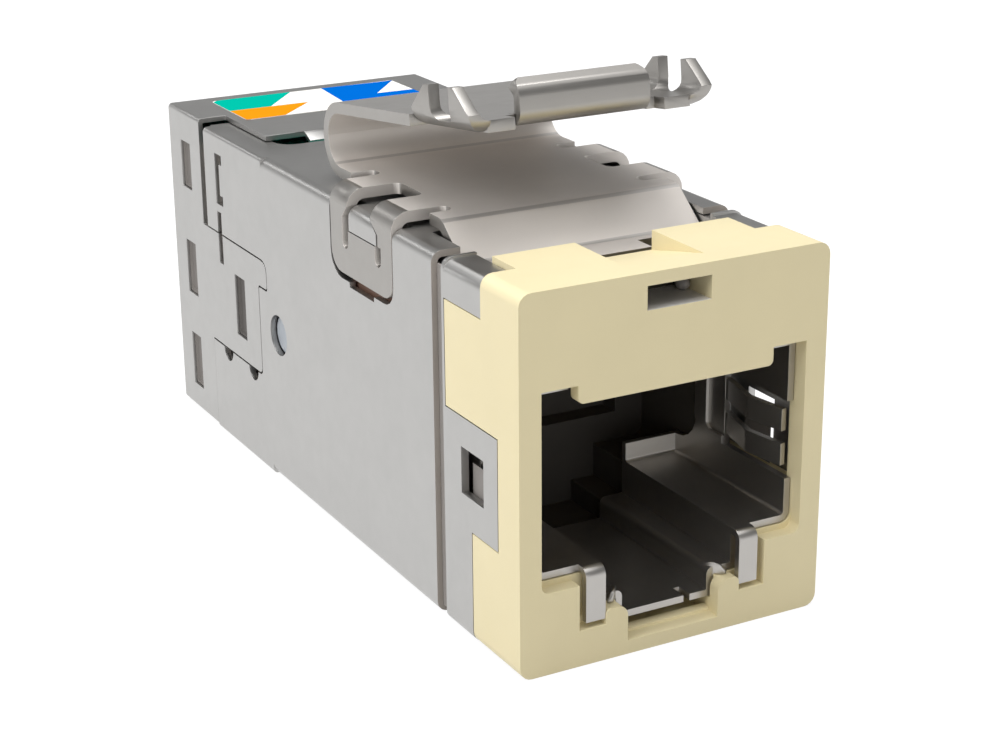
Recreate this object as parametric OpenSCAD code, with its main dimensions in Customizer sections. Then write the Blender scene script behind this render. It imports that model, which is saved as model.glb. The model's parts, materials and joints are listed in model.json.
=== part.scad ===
// Shielded keystone jack with an almond face, a sprung catch on top and a slide-on cable cap.
// X runs across the jack, Y from the face (0) to the cable end, Z up from the underside (0).

/* [Body] */
// Width across the side walls
body_w = 14.5; // [14:0.1:16]
// Height of the main shell
body_h = 16.1; // [16:0.1:17.5]
// Length from the face to the back of the cap shield
body_len = 37.5; // [36.5:0.5:42]
// Thickness of the shell's sheet metal
sheet = 0.3; // [0.22:0.02:0.32]
// Radius of the shell's long edges
edge_r = 0.5; // [0.36:0.02:0.6]
// Front end of the main shell
shell_front = 7.25; // [7.1:0.05:7.5]
// How far the cap reaches behind the main shell's sides
cap_depth = 4.9; // [4.5:0.1:5.3]
// Gap between pieces that sit in each other
fit = 0.05; // [0.03:0.01:0.08]

/* [Face frame] */
// How far the face frame stands above the main shell
face_rise = 0.15; // [0.1:0.05:0.4]
// Depth of the face frame at its sides
face_depth = 6.15; // [6:0.05:6.15]
// Depth of the face frame on top
face_top_depth = 5; // [4.8:0.1:5.1]
// Radius of the face's corners
face_r = 0.55; // [0.3:0.05:0.7]
// Width of the pocket at each end of the lip over the port
pocket_w = 1.3; // [1:0.05:1.6]
// Height of the lip's lower edge
lip_z = 11.37; // [11:0.05:11.8]
// Depth of the lip behind the face
lip_depth = 1.2; // [0.8:0.1:2]
// Width of the small window above the port
sight_w = 3; // [2:0.1:4]
// Height of that window
sight_h = 1; // [0.6:0.1:1.1]
// Height of the window's middle
sight_z = 15.2; // [15.1:0.05:15.25]
// Width of the sloping recess on top
recess_w = 3.7; // [3:0.1:4.5]
// Depth of the recess at its back end
recess_drop = 0.85; // [0.5:0.05:0.95]

/* [Port] */
// Thickness of the wall beside the port
side_wall = 1.35; // [1.25:0.01:1.4]
// Height of the ledges that the plug rests on
ledge_z = 4.2; // [4:0.05:4.4]
// Height of the ceiling beside the lip
ceiling_z = 12.15; // [12:0.05:12.3]
// Width of the keyway below the ledges
key_w = 6.5; // [6.3:0.1:6.7]
// Height of the step in the keyway
key_step_z = 2.6; // [2.5:0.05:2.8]
// Width of the keyway under the step
key_low_w = 4.15; // [3.8:0.05:4.4]
// Height of the keyway floor
key_floor_z = 1.6; // [1.5:0.05:1.8]
// Front edge of the metal liner
liner_front = 0.7; // [0.6:0.05:0.9]
// Back edge of the metal liner
liner_back = 9.35; // [9.1:0.05:9.8]
// Bend between the liner's wall and its ledge
liner_r = 0.15; // [0.1:0.05:0.4]
// Width of each hook bent over the face
hook_w = 0.92; // [0.7:0.02:1]
// Height of the hook's lower end
hook_tip_z = 1.85; // [1.75:0.05:2.2]
// How far the wall springs bow into the port
spring_bow = 0.48; // [0.3:0.02:0.5]

/* [Contacts] */
// Distance between neighbouring contacts
pitch = 1.02; // [0.98:0.01:1.05]
// Width of a contact wire
wire_w = 0.42; // [0.3:0.02:0.46]
// Thickness of a contact wire
wire_t = 0.3; // [0.2:0.02:0.34]
// Slope of a contact beam
beam_drop = 24; // [20:1:26]
// Length of a contact beam
beam_len = 6; // [5.4:0.1:6.2]

/* [Catch] */
// Thickness of the catch's spring steel
catch_t = 0.5; // [0.4:0.02:0.54]
// Gap between the main shell and the catch plate
catch_gap = 0.2; // [0.15:0.05:0.25]
// Space beside the arm and the bend at its back
arm_inset = 1.45; // [1.36:0.01:1.7]
// Where the bend's centre lies along the jack
bend_y = 19.1; // [18.9:0.1:20]
// Radius of the bend at mid-thickness
bend_r = 1.475; // [1.4:0.025:1.6]
// Slope at which the arm rises to the front
arm_rise = 7; // [5:0.5:9]
// Length of the arm from the bend's centre to its lip
arm_len = 12.2; // [11.9:0.1:12.4]
// Height of the side tines above the arm's middle
tine_h = 1.6; // [1.2:0.05:1.8]
// Width of the finger lip
finger_lip_w = 6.2; // [5:0.1:7]
// Height of the finger lip above the arm's middle
finger_lip_h = 1.15; // [1:0.05:1.4]
// Length of the slots that cut into the catch plate's sides
neck_cut = 1.15; // [1:0.05:1.3]
// Back edge of the side clip
clip_back = 17.12; // [17:0.02:17.2]
// Front edge of the side clip
clip_front = 10.95; // [10.9:0.05:11.1]
// Lower end of the side clip
clip_z = 12.9; // [12.6:0.05:13.2]

/* [Cap] */
// Thickness of the cap shield's sheet
cap_t = 0.25; // [0.2:0.01:0.28]
// Radius of the cable hole in the collar
cable_r = 3.9; // [3:0.1:4.2]
// Radius of the hole in the back wall
back_hole_r = 4.7; // [4.6:0.05:5]
// Height of the side tongue's upper edge
tongue_top_z = 11; // [10.8:0.05:11.2]
// Height of the side tongue's lower edge
tongue_low_z = 4.9; // [4.7:0.05:5.1]
// Width of the top tongue
top_tongue_w = 11.5; // [11.2:0.1:11.8]
// Width of a wall slot
louvre_w = 1.32; // [0.8:0.02:1.6]

/* [Hidden] */
$fn = 48;

// Shared values
cut = 1;
half_w = body_w / 2;
port_w = body_w - 2 * side_wall;
pocket_x = port_w / 2 - pocket_w;
turn_steps = 5;
contact_count = 8;
seam = 0.08;

// Face frame
face_h = body_h + face_rise;
plate_t = 0.35;
tab_front = 3.05;
tab_low_z = 14.45;
tab_inset = 1.55;
tab_inner_x = half_w - tab_inset;
tab_drop = 0.1;
side_plate_front = 1.78;
side_stem_front = 4;
side_plate_low_z = 5;
side_plate_top_z = 9.8;
window_front = 2.95;
window_back = 4.86;
window_low_z = 6.45;
window_top_z = 8.5;
lip_round = 0.25;
hook_slot_w = 1.25;
hook_slot_z = 1.6;
hump_in_x = 2.2;
hump_z = 2.25;
hump_r = 0.5;
sill_z = 0.6;
sill_back_z = 0.85;
sill_len = 1;
face_port_w = port_w + 2 * sheet + 2 * fit;
face_floor_z = 3.6;
face_floor_r = 0.35;
opening_front = 1;
opening_low_z = 5.6;
opening_top_z = 9.5;
slot_back = 3.4;
slot_low_z = 0.5;
recess_front = 1.1;
top_wall_z = 14.5;
roof_back = 3.1;

// Front shield
skirt_out = half_w - sheet - fit;
skirt_back = 10.5;
joggle_y = 6.2;
joggle_len = 0.2;
housing_gap = 0.3;
skirt_low_z = sheet + fit;
skirt_top_z = body_h - sheet - fit;
top_trim_z = body_h - edge_r - plate_t - sheet;

// Liner springs
spring_root = 5.2;
spring_mid = 2.95;
spring_tip = 0.9;
spring_tip_in = 0.15;
spring_slot_low_z = 5.85;
spring_h = 0.98;
spring_gap = 0.4;
spring_pitch = 1.55;
spring_low_z = 6.4;
spring_t = 0.25;
spring_bend = 0.5;
wall_back = 7.4;
rib_h = 0.14;
rib_low_z = 5.9;
rib_top_z = 6.25;
rib_front = 6.45;
wall_r = 1.5;
rib_back = 7.35;
rib_r = 0.8;
shoulder_r = 0.3;
scoop_top = 5.08;
scoop_r = 0.3;
floor_notch_x = 0.95;
floor_notch_w = 0.3;
floor_notch_len = 0.8;

// Housing behind the face
housing_front = joggle_y + joggle_len + housing_gap;
cavity_back = 12.5;
housing_back = 17.4;
housing_w = 2 * (skirt_out - sheet - fit);
housing_low_z = skirt_low_z + sheet + fit;
housing_step_z = 14.5;
housing_step_y = 10.9;
housing_top_z = skirt_top_z - sheet;
nose_back = 13.6;
nose_w = 9.6;
carrier_w = 9.2;
carrier_low_z = 12.35;
carrier_top_z = 14;
carrier_front = 6.9;
carrier_back = 17.3;
comb_front = 11.6;
comb_back = 13.4;
comb_low_z = 9.6;
comb_slot = 0.62;
nose_low_z = 5.2;

// Contacts
lead_z = 13.1;
lead_x0 = -(contact_count - 1) * pitch / 2;
beam_y = 6.45;
beam_z = 12.2;
bend_small = 0.3;
beam_tail = 0.4;
board_front = 17.5;
board_back = 18.4;
board_inset = 0.85;
board_w = body_w - 2 * board_inset;
board_low_z = 1;
board_top_z = 15.2;
pad_r = 0.32;

// Termination block
axis_z = 8.1;
block_front = 18.5;
block_back_share = 0.4776;
block_back = rear(block_back_share);
block_inset = 0.65;
block_w = body_w - 2 * block_inset;
block_h = 14.4;
tower_front_share = 0.2786;
tower_front = rear(tower_front_share);
peg_r = 0.95;
peg_share = 0.3184;
peg_y = rear(peg_share);
peg_z = 7.65;
side_hole_r = 1;
blade_t = 0.35;
blade_w = 2.4;
blade_back_share = 0.5075;
blade_front_share = 0.2985;
blade_back = rear(blade_back_share);
blade_front = rear(blade_front_share);
blade_slit = 0.4;
blade_slit_len = 2.6;
blade_pin = 0.5;
blade_in_x = 1.8;
blade_inset = 2.1;
blade_x = [blade_in_x, block_w / 2 - blade_inset];
blade_row = 3.6;
divider_t = 0.4;
divider_back_share = 0.5025;
divider_back = rear(divider_back_share);
divider_w = block_w - 2 * divider_t;
divider_h = 13.6;

// Main shell
rear_edge_r = 0.22;
edge_share = 0.39;
edge_step = rear(edge_share);
top_lead = 0.25;
top_front = 9.75;
pocket_gap = 0.1;
pocket_low_gap = 0.28;
pocket_notch_front = 12.8;
pocket_notch_z = 12.4;
pocket_front_r = 0.9;
pocket_back_r = 1.1;
hook_inset = 1.4;
hook_back = body_len - cap_depth - hook_inset;
hook_slot_len = 0.55;
hook_len = 0.9;
hook_arm_h = 0.5;
hook_low_z = 12.5;
hook_top_z = 15.1;
slit_low_z = 9.4;
slit_top_z = 12.1;

// Catch
arm_w = body_w - 2 * arm_inset;
neck_w = arm_w - 2 * neck_cut;
plate_z = body_h + catch_gap + catch_t / 2;
bend_z = plate_z + bend_r;
bend_step = 90 / (2 * turn_steps);
crease_y = 9.2;
ramp_foot_y = 7.3;
foot_z = 15.05;
foot_front = 5.65;
foot_w = 4.6;
crease_r = 0.7;
clip_r = 0.85;
clip_front_round = 0.8;
clip_back_round = 1;
slot_back_len = 0.85;
slot_round = 0.35;
clip_slot_front = 10.2;
arm_back_front = 15.9;
arm_front_back = 12.3;
window_top_front = 13;
window_top_back = 15.4;
window_side_z = 15.5;
lug_gap = 0.15;
lug_front = arm_front_back + lug_gap;
lug_back = 15.2;
lug_z = 15;
relief_z = 14.1;
relief_w = 0.6;
wing_bend = 0.75;
wing_back = 7.65;
tine_a_top = 9;
tine_a_front = 9.42;
tine_b_back = 11.2;
tine_notch_r = 0.5;
tine_b_top = 11.6;
tine_b_front = 12.8;
band_front = 12.55;
notch_back = 7.45;
lip_relief = 0.45;
lip_relief_len = 0.8;
lip_lean_y = 0.5;
lip_lean_z = 0.35;
lip_corner = 0.5;
lip_bend = 0.45;

// Cap
cap_low_z = 0.1;
cap_top_z = body_h + fit + cap_t;
shell_back = body_len - cap_depth;
cap_side_step = 0.64;
cap_low_step = 0.03;
cap_side_front = shell_back + cap_side_step;
cap_low_front = shell_back + cap_low_step;
tongue_front_share = 0.3781;
tongue_front = rear(tongue_front_share);
tongue_step = 1.05;
tongue_step_front = tongue_front + tongue_step;
top_tongue_share = 0.5274;
top_tongue_front = rear(top_tongue_share);
tongue_step_z = 9.5;
tongue_toe_r = 0.3;
tongue_small_r = 0.15;
tongue_nose_r = 0.6;
shell_notch_w = 10.8;
shell_notch_r = 0.9;
shell_notch_share = 0.4726;
shell_notch_front = rear(shell_notch_share);
louvre_inset = 2.2;
louvre_back_y = body_len - louvre_inset;
louvre_low = [1.45, 6.6, 12.35];
louvre_h = [2.9, 2.87, 2.45];
louvre_share = 0.5572;
louvre_tongue_y = rear(louvre_share);
louvre_tongue_z = 6.15;
louvre_tongue_h = 3.15;
manager_front = top_tongue_front;
manager_inset = 0.75;
manager_w = body_w - 2 * manager_inset;
manager_h = 14.6;
manager_back = body_len - cap_t - fit;
cover_w = 10.4;
cover_front_share = 0.4179;
cover_front = rear(cover_front_share);
cover_z = 15.3;
cover_t = 0.42;
chamber_share = 0.6965;
chamber_front = rear(chamber_share);
chamber_r = 4.4;
channel_gap = 2.1;
channel_shift = 0.35;
channel_w = manager_w / 2 - channel_gap;
channel_h = 4.6;
channel_x = manager_w / 4 + channel_shift;
channel_z = 3.8;
collar_len = 1.6;
collar_r = 4.55;
label_w = 10.4;
label_front_share = 0.7114;
label_front = rear(label_front_share);
label_inset = 0.5;
label_back = body_len - label_inset;
label_t = 0.08;
rail_inset = 1.35;
rail_inner_x = half_w - rail_inset;
liner_plate_t = 0.2;
liner_plate_lead = 0.4;
liner_plate_front = manager_front - liner_plate_lead;
liner_plate_grow = 0.4;
tab_drop_len = 0.7;
tab_drop_z = 0.3;
tab_drop_t = 0.2;
tab_drop_x = 2.6;
tab_drop_w = 1.1;

// A place along the rear of the jack, as a share of the way from the housing to the cap's back
function rear(s) = housing_back + (body_len - housing_back) * s;

// A box from one corner to the opposite one
module block(lo, hi) {
    translate(lo) cube(hi - lo);
}

// The same shape on both sides of the jack
module both() {
    children();
    mirror([1, 0, 0]) children();
}

// A flat outline in X and Z, run along Y
module along_y(from, to) {
    translate([0, to, 0]) rotate([90, 0, 0]) linear_extrude(to - from) children();
}

// A flat outline in Y and Z, run along X
module along_x(from, to) {
    translate([from, 0, 0]) rotate([90, 0, 90]) linear_extrude(to - from) children();
}

// Points of one rounded corner at b, between a and c
function corner(a, b, c, r, steps) =
    let (
        u = (a - b) / norm(a - b),
        v = (c - b) / norm(c - b),
        half = acos(u * v) / 2,
        mid = b + (u + v) / norm(u + v) * r / sin(half),
        s = b + u * r / tan(half) - mid,
        e = b + v * r / tan(half) - mid,
        a0 = atan2(s[1], s[0]),
        turn = (atan2(e[1], e[0]) - a0 + 540) % 360 - 180
    )
    [for (i = [0:steps]) mid + r * [cos(a0 + turn * i / steps), sin(a0 + turn * i / steps)]];

// An open path with every inner corner rounded
function rounded(p, r) = [
    p[0],
    for (i = [1:len(p) - 2]) each corner(p[i - 1], p[i], p[i + 1], is_list(r) ? r[i] : r, turn_steps),
    p[len(p) - 1]
];

// A closed outline with every corner rounded
function rounded_ring(p, r) = [
    for (i = [0:len(p) - 1])
        each corner(p[(i + len(p) - 1) % len(p)], p[i], p[(i + 1) % len(p)], is_list(r) ? r[i] : r, turn_steps)
];

// Unit normal of one stretch of a path
function left_of(a, b) = [a[1] - b[1], b[0] - a[0]] / norm(b - a);

// A path moved sideways by d
function moved(p, d) = [
    for (i = [0:len(p) - 1])
        let (
            n0 = left_of(p[max(i - 1, 0)], p[max(i, 1)]),
            n1 = left_of(p[min(i, len(p) - 2)], p[min(i + 1, len(p) - 1)]),
            m = (n0 + n1) / norm(n0 + n1)
        )
        p[i] + m * d / (m * n1)
];

// Section of a bent sheet whose middle follows a path
module bent(path, t) {
    there = moved(path, t / 2);
    back = moved(path, -t / 2);
    polygon(concat(there, [for (i = [len(back) - 1:-1:0]) back[i]]));
}

function box_outline(w, z0, z1) = [[-w / 2, z0], [w / 2, z0], [w / 2, z1], [-w / 2, z1]];

// Section of a folded shell between two sizes
module shell_section(w, z0, z1, t, r) {
    difference() {
        polygon(rounded_ring(box_outline(w, z0, z1), r));
        polygon(rounded_ring(box_outline(w - 2 * t, z0 + t, z1 - t), max(r - t, fit)));
    }
}

// Right half of the plug cavity, grown outwards by g, up to a height
function cavity_half(g, top) = [
    [key_low_w / 2 + g, key_floor_z - g],
    each corner([key_low_w / 2 + g, key_floor_z - g], [key_low_w / 2 + g, key_step_z - g],
        [key_w / 2 + g, key_step_z - g], max(shoulder_r - g, fit), turn_steps),
    [key_w / 2 + g, key_step_z - g],
    [key_w / 2 + g, ledge_z - g],
    each corner([key_w / 2 + g, ledge_z - g], [port_w / 2 + g, ledge_z - g], [port_w / 2 + g, top],
        liner_r + g, turn_steps),
    [port_w / 2 + g, top]
];

function mirrored(p) = [for (i = [len(p) - 1:-1:0]) [-p[i][0], p[i][1]]];

module cavity(g, top) {
    polygon(concat(cavity_half(g, top), mirrored(cavity_half(g, top))));
}

// Moulded face frame
module bezel() {
    seat = sheet + fit;
    color("moccasin") difference() {
        along_y(0, face_depth) polygon(rounded_ring(box_outline(body_w, 0, face_h), face_r));
        // Opening in the face, and behind it the room for the liner
        along_y(-cut, liner_front - fit) polygon(concat(face_half(), mirrored(face_half())));
        along_y(liner_front - 2 * fit, face_depth + cut) cavity(seat, ceiling_z);
        block([-pocket_x, lip_depth, lip_z - cut], [pocket_x, face_depth + cut, ceiling_z]);
        // Sill that slopes up to the slot under the keyway's floor
        along_x(-hump_in_x, hump_in_x) polygon([
            [-cut, sill_z - (sill_back_z - sill_z) * cut / sill_len], [sill_len, sill_back_z], [sill_len, slot_low_z],
            [slot_back, slot_low_z], [slot_back, key_floor_z - sheet], [-cut, key_floor_z - sheet]
        ]);
        bezel_top_cuts();
        bezel_side_seats();
    }
}

// Right half of the opening in the face itself
function face_half() =
    let (slot_x = key_w / 2 + hook_slot_w)
    concat(
        [[hump_in_x, sill_z + fit]],
        corner([hump_in_x, sill_z], [hump_in_x, hump_z], [key_w / 2, hump_z], hump_r, turn_steps),
        corner([hump_in_x, hump_z], [key_w / 2, hump_z], [key_w / 2, sill_z], hump_r / 2, turn_steps),
        [[key_w / 2, hook_slot_z], [slot_x, hook_slot_z], [slot_x, face_floor_z]],
        corner([slot_x, face_floor_z], [face_port_w / 2, face_floor_z], [face_port_w / 2, ceiling_z],
            face_floor_r, turn_steps),
        [[face_port_w / 2, ceiling_z], [pocket_x, ceiling_z]],
        corner([pocket_x, ceiling_z], [pocket_x, lip_z], [0, lip_z], lip_round, turn_steps)
    );

module bezel_top_cuts() {
    // Sloping recess that leads to the catch plate's foot
    along_x(-recess_w / 2, recess_w / 2) polygon([
        [recess_front, face_h],
        [face_top_depth + cut, face_h - recess_drop * (1 + cut / (face_top_depth - recess_front))],
        [face_top_depth + cut, face_h + cut],
        [recess_front, face_h + cut]
    ]);
    // Small window above the port
    block([-sight_w / 2, -cut, sight_z - sight_h / 2],
        [sight_w / 2, recess_front + lip_depth, sight_z + sight_h / 2]);
    // The roof stops short of the sides, and is hollow behind
    block([-half_w - cut, face_top_depth, top_wall_z], [half_w + cut, face_depth + cut, face_h + cut]);
    block([-tab_inner_x, roof_back, ceiling_z - cut], [tab_inner_x, face_depth + cut, top_wall_z]);
}

module bezel_side_seats() {
    seat_x = half_w - plate_t - fit;
    both() {
        // Corner tab of the front shield
        block([seat_x, tab_front, tab_low_z - fit], [half_w + cut, face_depth + cut, face_h + cut]);
        block([tab_inner_x - fit, tab_front, body_h - tab_drop - plate_t - fit],
            [half_w + cut, face_depth + cut, face_h + cut]);
        // Side plate of the front shield
        block([seat_x, side_plate_front - fit, side_plate_low_z - fit],
            [half_w + cut, face_depth + cut, side_plate_top_z + fit]);
        block([seat_x, side_stem_front - fit, -cut], [half_w + cut, face_depth + cut, side_plate_top_z + fit]);
        // Room for the wall springs, open to the side plate's window
        block([port_w / 2, opening_front, opening_low_z], [seat_x + fit, face_depth + cut, opening_top_z]);
    }
    // Floor of the front shield
    block([-half_w - cut, side_stem_front - fit, -cut], [half_w + cut, face_depth + cut, plate_t + fit]);
}

// Folded shield between the face frame and the main shell
module front_shield() {
    color("darkgray") difference() {
        union() {
            // Outer plates, flush with the main shell
            along_y(side_plate_front, joggle_y + joggle_len)
                shell_section(body_w, 0, body_h - tab_drop, plate_t, edge_r);
            // Flange in front of the groove
            along_y(joggle_y, joggle_y + joggle_len)
                shell_section(body_w, 0, body_h, plate_t + sheet + fit, edge_r);
            along_y(joggle_y, skirt_back)
                shell_section(2 * skirt_out, skirt_low_z, skirt_top_z, sheet, edge_r);
        }
        shield_trims();
    }
}

module shield_trims() {
    // Open top for the catch plate
    block([-tab_inner_x, -cut, top_trim_z], [tab_inner_x, skirt_back + cut, body_h + cut]);
    block([-rail_inner_x, joggle_y + joggle_len, top_trim_z], [rail_inner_x, skirt_back + cut, body_h + cut]);
    // Nothing in front of the stem's line but the side plates and the tabs
    block([-half_w + plate_t, -cut, -cut], [half_w - plate_t, side_stem_front, body_h / 2]);
    both() {
        block([half_w - cut, -cut, -cut], [half_w + cut, side_stem_front, side_plate_low_z]);
        block([0, -cut, side_plate_top_z], [half_w + cut, joggle_y, tab_low_z]);
        block([0, -cut, tab_low_z - cut], [half_w + cut, tab_front, body_h + cut]);
        block([half_w - cut, window_front, window_low_z], [half_w + cut, window_back, window_top_z]);
    }
}

// Metal liner of the port, with its wall springs and the two hooks over the face
module port_liner() {
    spring_top_z = spring_low_z + spring_pitch + spring_h + spring_gap;
    color("lightgray") {
        difference() {
            along_y(liner_front, liner_back) difference() {
                cavity(sheet, ceiling_z - fit);
                cavity(0, ceiling_z + cut);
            }
            both() {
                block([port_w / 2 - cut, -cut, spring_slot_low_z],
                    [port_w / 2 + cut, spring_root, spring_top_z]);
                // The wall drops in a curve to the plug's stop
                along_x(port_w / 2 - cut, port_w / 2 + cut) polygon(concat(
                    rounded([[wall_back, ceiling_z], [wall_back, scoop_top], [liner_back + cut, scoop_top]], wall_r),
                    [[liner_back + cut, ceiling_z]]
                ));
            }
            block([floor_notch_x, liner_front - cut, 0],
                [floor_notch_x + floor_notch_w, liner_front + floor_notch_len, key_floor_z + fit]);
        }
        both() {
            for (i = [0:1]) wall_spring(spring_low_z + i * spring_pitch);
            face_hook();
            wall_rib();
            ledge_scoop();
            // Strip under the ceiling beside the lip
            block([pocket_x + fit, liner_front, ceiling_z - fit - sheet],
                [port_w / 2 + sheet, wall_back, ceiling_z - fit]);
        }
    }
}

module wall_spring(z) {
    x = port_w / 2 + sheet / 2;
    path = rounded([
        [x, spring_root + spring_gap], [x, spring_root - spring_gap / 2],
        [x - spring_bow, spring_mid], [x - spring_tip_in, spring_tip]
    ], spring_bend);
    translate([0, 0, z]) linear_extrude(spring_h) bent(path, spring_t);
}

// Bead pressed into the wall behind and below the springs
module wall_rib() {
    top = ceiling_z - fit - sheet;
    along_x(port_w / 2 - rib_h, port_w / 2 + fit) polygon(rounded([
        [spring_root, rib_low_z], [rib_back, rib_low_z], [rib_back, top], [rib_front, top],
        [rib_front, rib_top_z], [spring_root, rib_top_z]
    ], [0, rib_r, fit, fit, rib_r / 2, 0]));
}

// End of the ledge, turned up as the plug's stop
module ledge_scoop() {
    mid_y = liner_back - sheet / 2;
    path = rounded([
        [mid_y - 2 * scoop_r, ledge_z - sheet / 2], [mid_y, ledge_z - sheet / 2], [mid_y, scoop_top]
    ], scoop_r);
    along_x(key_w / 2, port_w / 2) bent(path, sheet);
}

module face_hook() {
    mid = fit + sheet / 2;
    path = rounded([
        [liner_front + sheet, ledge_z - sheet / 2], [mid, ledge_z - sheet / 2], [mid, hook_tip_z]
    ], sheet);
    along_x(key_w / 2, key_w / 2 + hook_w) bent(path, sheet);
}

// Black housing around the liner, behind the face frame
module port_housing() {
    color("dimgray") difference() {
        block([-housing_w / 2, housing_front, housing_low_z], [housing_w / 2, housing_back, housing_top_z]);
        block([-half_w, housing_front - cut, housing_step_z], [half_w, housing_step_y, body_h]);
        along_y(housing_front - cut, cavity_back) cavity(sheet + fit, ceiling_z);
        block([-nose_w / 2, cavity_back - cut, nose_low_z], [nose_w / 2, nose_back, ceiling_z]);
        // Seat of the contact carrier
        block([-carrier_w / 2 - fit, housing_front - cut, nose_low_z + cut],
            [carrier_w / 2 + fit, nose_back, carrier_top_z + fit]);
        block([-carrier_w / 2 - fit, housing_front - cut, carrier_low_z - fit],
            [carrier_w / 2 + fit, housing_back + cut, carrier_top_z + fit]);
    }
}

// Comb that holds the eight contacts in line
module contact_carrier() {
    color("darkslategray") difference() {
        union() {
            block([-carrier_w / 2, carrier_front, carrier_low_z], [carrier_w / 2, carrier_back, carrier_top_z]);
            block([-carrier_w / 2, comb_front, comb_low_z], [carrier_w / 2, comb_back, carrier_low_z + fit]);
        }
        for (i = [0:contact_count - 1]) translate([lead_x0 + i * pitch, 0, 0]) {
            block([-comb_slot / 2, comb_front - cut, comb_low_z - cut],
                [comb_slot / 2, comb_back - sheet, carrier_low_z]);
            block([-wire_w / 2 - fit, carrier_front - cut, lead_z - wire_t / 2 - fit],
                [wire_w / 2 + fit, carrier_back + cut, lead_z + wire_t / 2 + fit]);
        }
    }
}

// Fixed ends of the contact wires, from the carrier's nose into the board
module contact_leads() {
    path = rounded([
        [board_back + fit, lead_z], [beam_y, lead_z], [beam_y, beam_z + fit]
    ], bend_small + wire_t / 2);
    color("goldenrod") for (i = [0:contact_count - 1])
        along_x(lead_x0 + i * pitch - wire_w / 2, lead_x0 + i * pitch + wire_w / 2) bent(path, wire_t);
}

// One sprung beam, hinged where its wire turns back into the port
module contact(i) {
    dir = [cos(beam_drop), -sin(beam_drop)];
    turn = [beam_y, beam_z - wire_t];
    tip = turn + beam_len * dir;
    path = rounded([[beam_y, beam_z], turn, tip, tip + beam_tail * [cos(beam_drop), -sin(2 * beam_drop)]], wire_t);
    color("gold") translate([lead_x0 + (i - 1) * pitch, 0, 0])
        along_x(-wire_w / 2, wire_w / 2) bent(path, wire_t);
}

// Upright board behind the housing, drilled for the wires and the blades' pins
module circuit_board() {
    color("seagreen") difference() {
        block([-board_w / 2, board_front, board_low_z], [board_w / 2, board_back, board_top_z]);
        for (i = [0:contact_count - 1])
            translate([lead_x0 + i * pitch, board_front - cut, lead_z])
                rotate([-90, 0, 0]) cylinder(r = pad_r, h = 3 * cut);
        for (x = blade_x, sx = [-1, 1], sz = [-1, 1])
            translate([sx * x, board_front - cut, axis_z + sz * blade_row])
                rotate([-90, 0, 0]) cylinder(r = pad_r + fit, h = 3 * cut);
    }
}

// Block with four towers that hold the insulation-piercing blades
module idc_block() {
    low = axis_z - block_h / 2;
    color("aliceblue") difference() {
        union() {
            block([-block_w / 2, block_front, low], [block_w / 2, block_back, low + block_h]);
            both() translate([block_w / 2 - fit, peg_y, peg_z]) rotate([0, 90, 0])
                cylinder(r = peg_r, h = half_w - sheet - block_w / 2 + fit);
        }
        // Cross between the towers
        block([-divider_w / 2 - fit, tower_front, axis_z - divider_t / 2 - fit],
            [divider_w / 2 + fit, block_back + cut, axis_z + divider_t / 2 + fit]);
        block([-divider_t / 2 - fit, tower_front, axis_z - divider_h / 2 - fit],
            [divider_t / 2 + fit, block_back + cut, axis_z + divider_h / 2 + fit]);
        for (i = [1:contact_count]) at_blade(i) {
            block([-blade_t / 2 - fit, blade_front - fit, -blade_w / 2 - fit],
                [blade_t / 2 + fit, block_back + cut, blade_w / 2 + fit]);
            block([-blade_t / 2 - fit, block_front - cut, -blade_pin / 2 - fit],
                [blade_t / 2 + fit, blade_front, blade_pin / 2 + fit]);
            // Wire slot across the tower
            block([-cut, block_back - blade_slit_len, -blade_slit], [cut, block_back + cut, blade_slit]);
        }
    }
}

module at_blade(i) {
    k = (i - 1) % 4;
    translate([(k < 2 ? -1 : 1) * blade_x[k < 2 ? 1 - k : k - 2], 0, axis_z + (i > 4 ? 1 : -1) * blade_row])
        children();
}

// Forked blade that cuts into one wire, with its pin through the board
module idc_blade(i) {
    color("silver") at_blade(i) difference() {
        union() {
            block([-blade_t / 2, blade_front, -blade_w / 2], [blade_t / 2, blade_back, blade_w / 2]);
            block([-blade_t / 2, board_front - fit, -blade_pin / 2], [blade_t / 2, blade_front + fit, blade_pin / 2]);
        }
        along_x(-cut, cut) polygon([
            [blade_back + cut, blade_slit + cut], [blade_back - blade_slit, blade_slit / 4],
            [blade_back - blade_slit_len, blade_slit / 4], [blade_back - blade_slit_len, -blade_slit / 4],
            [blade_back - blade_slit, -blade_slit / 4], [blade_back + cut, -blade_slit - cut]
        ]);
    }
}

// Stamped cross that keeps the pairs apart
module pair_divider() {
    color("lightsteelblue") {
        block([-divider_w / 2, tower_front + fit, axis_z - divider_t / 2],
            [divider_w / 2, divider_back, axis_z + divider_t / 2]);
        block([-divider_t / 2, tower_front + fit, axis_z - divider_h / 2],
            [divider_t / 2, divider_back, axis_z + divider_h / 2]);
    }
}

// Main shell: a folded tube, open under the catch and cut for the clips, the cap and the slots
module main_shell() {
    color("silver") difference() {
        union() {
            along_y(shell_front, edge_step) shell_section(body_w, 0, body_h, sheet, edge_r);
            // The rear is folded with a tighter radius
            along_y(edge_step - fit, shell_back) shell_section(body_w, 0, body_h, sheet, rear_edge_r);
            // The top reaches a little further back than the sides
            block([-half_w + edge_r, shell_back - fit, body_h - sheet],
                [half_w - edge_r, shell_back + top_lead, body_h]);
        }
        // Top opening under the catch plate's ramp
        block([-rail_inner_x, shell_front - cut, body_h - cut], [rail_inner_x, top_front, body_h + cut]);
        both() difference() {
            clip_pocket();
            shell_lug();
        }
        both() tongue_cut(0);
        // Notch under the cap's top tongue
        top_notch();
        both() shell_slots();
    }
}

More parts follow.
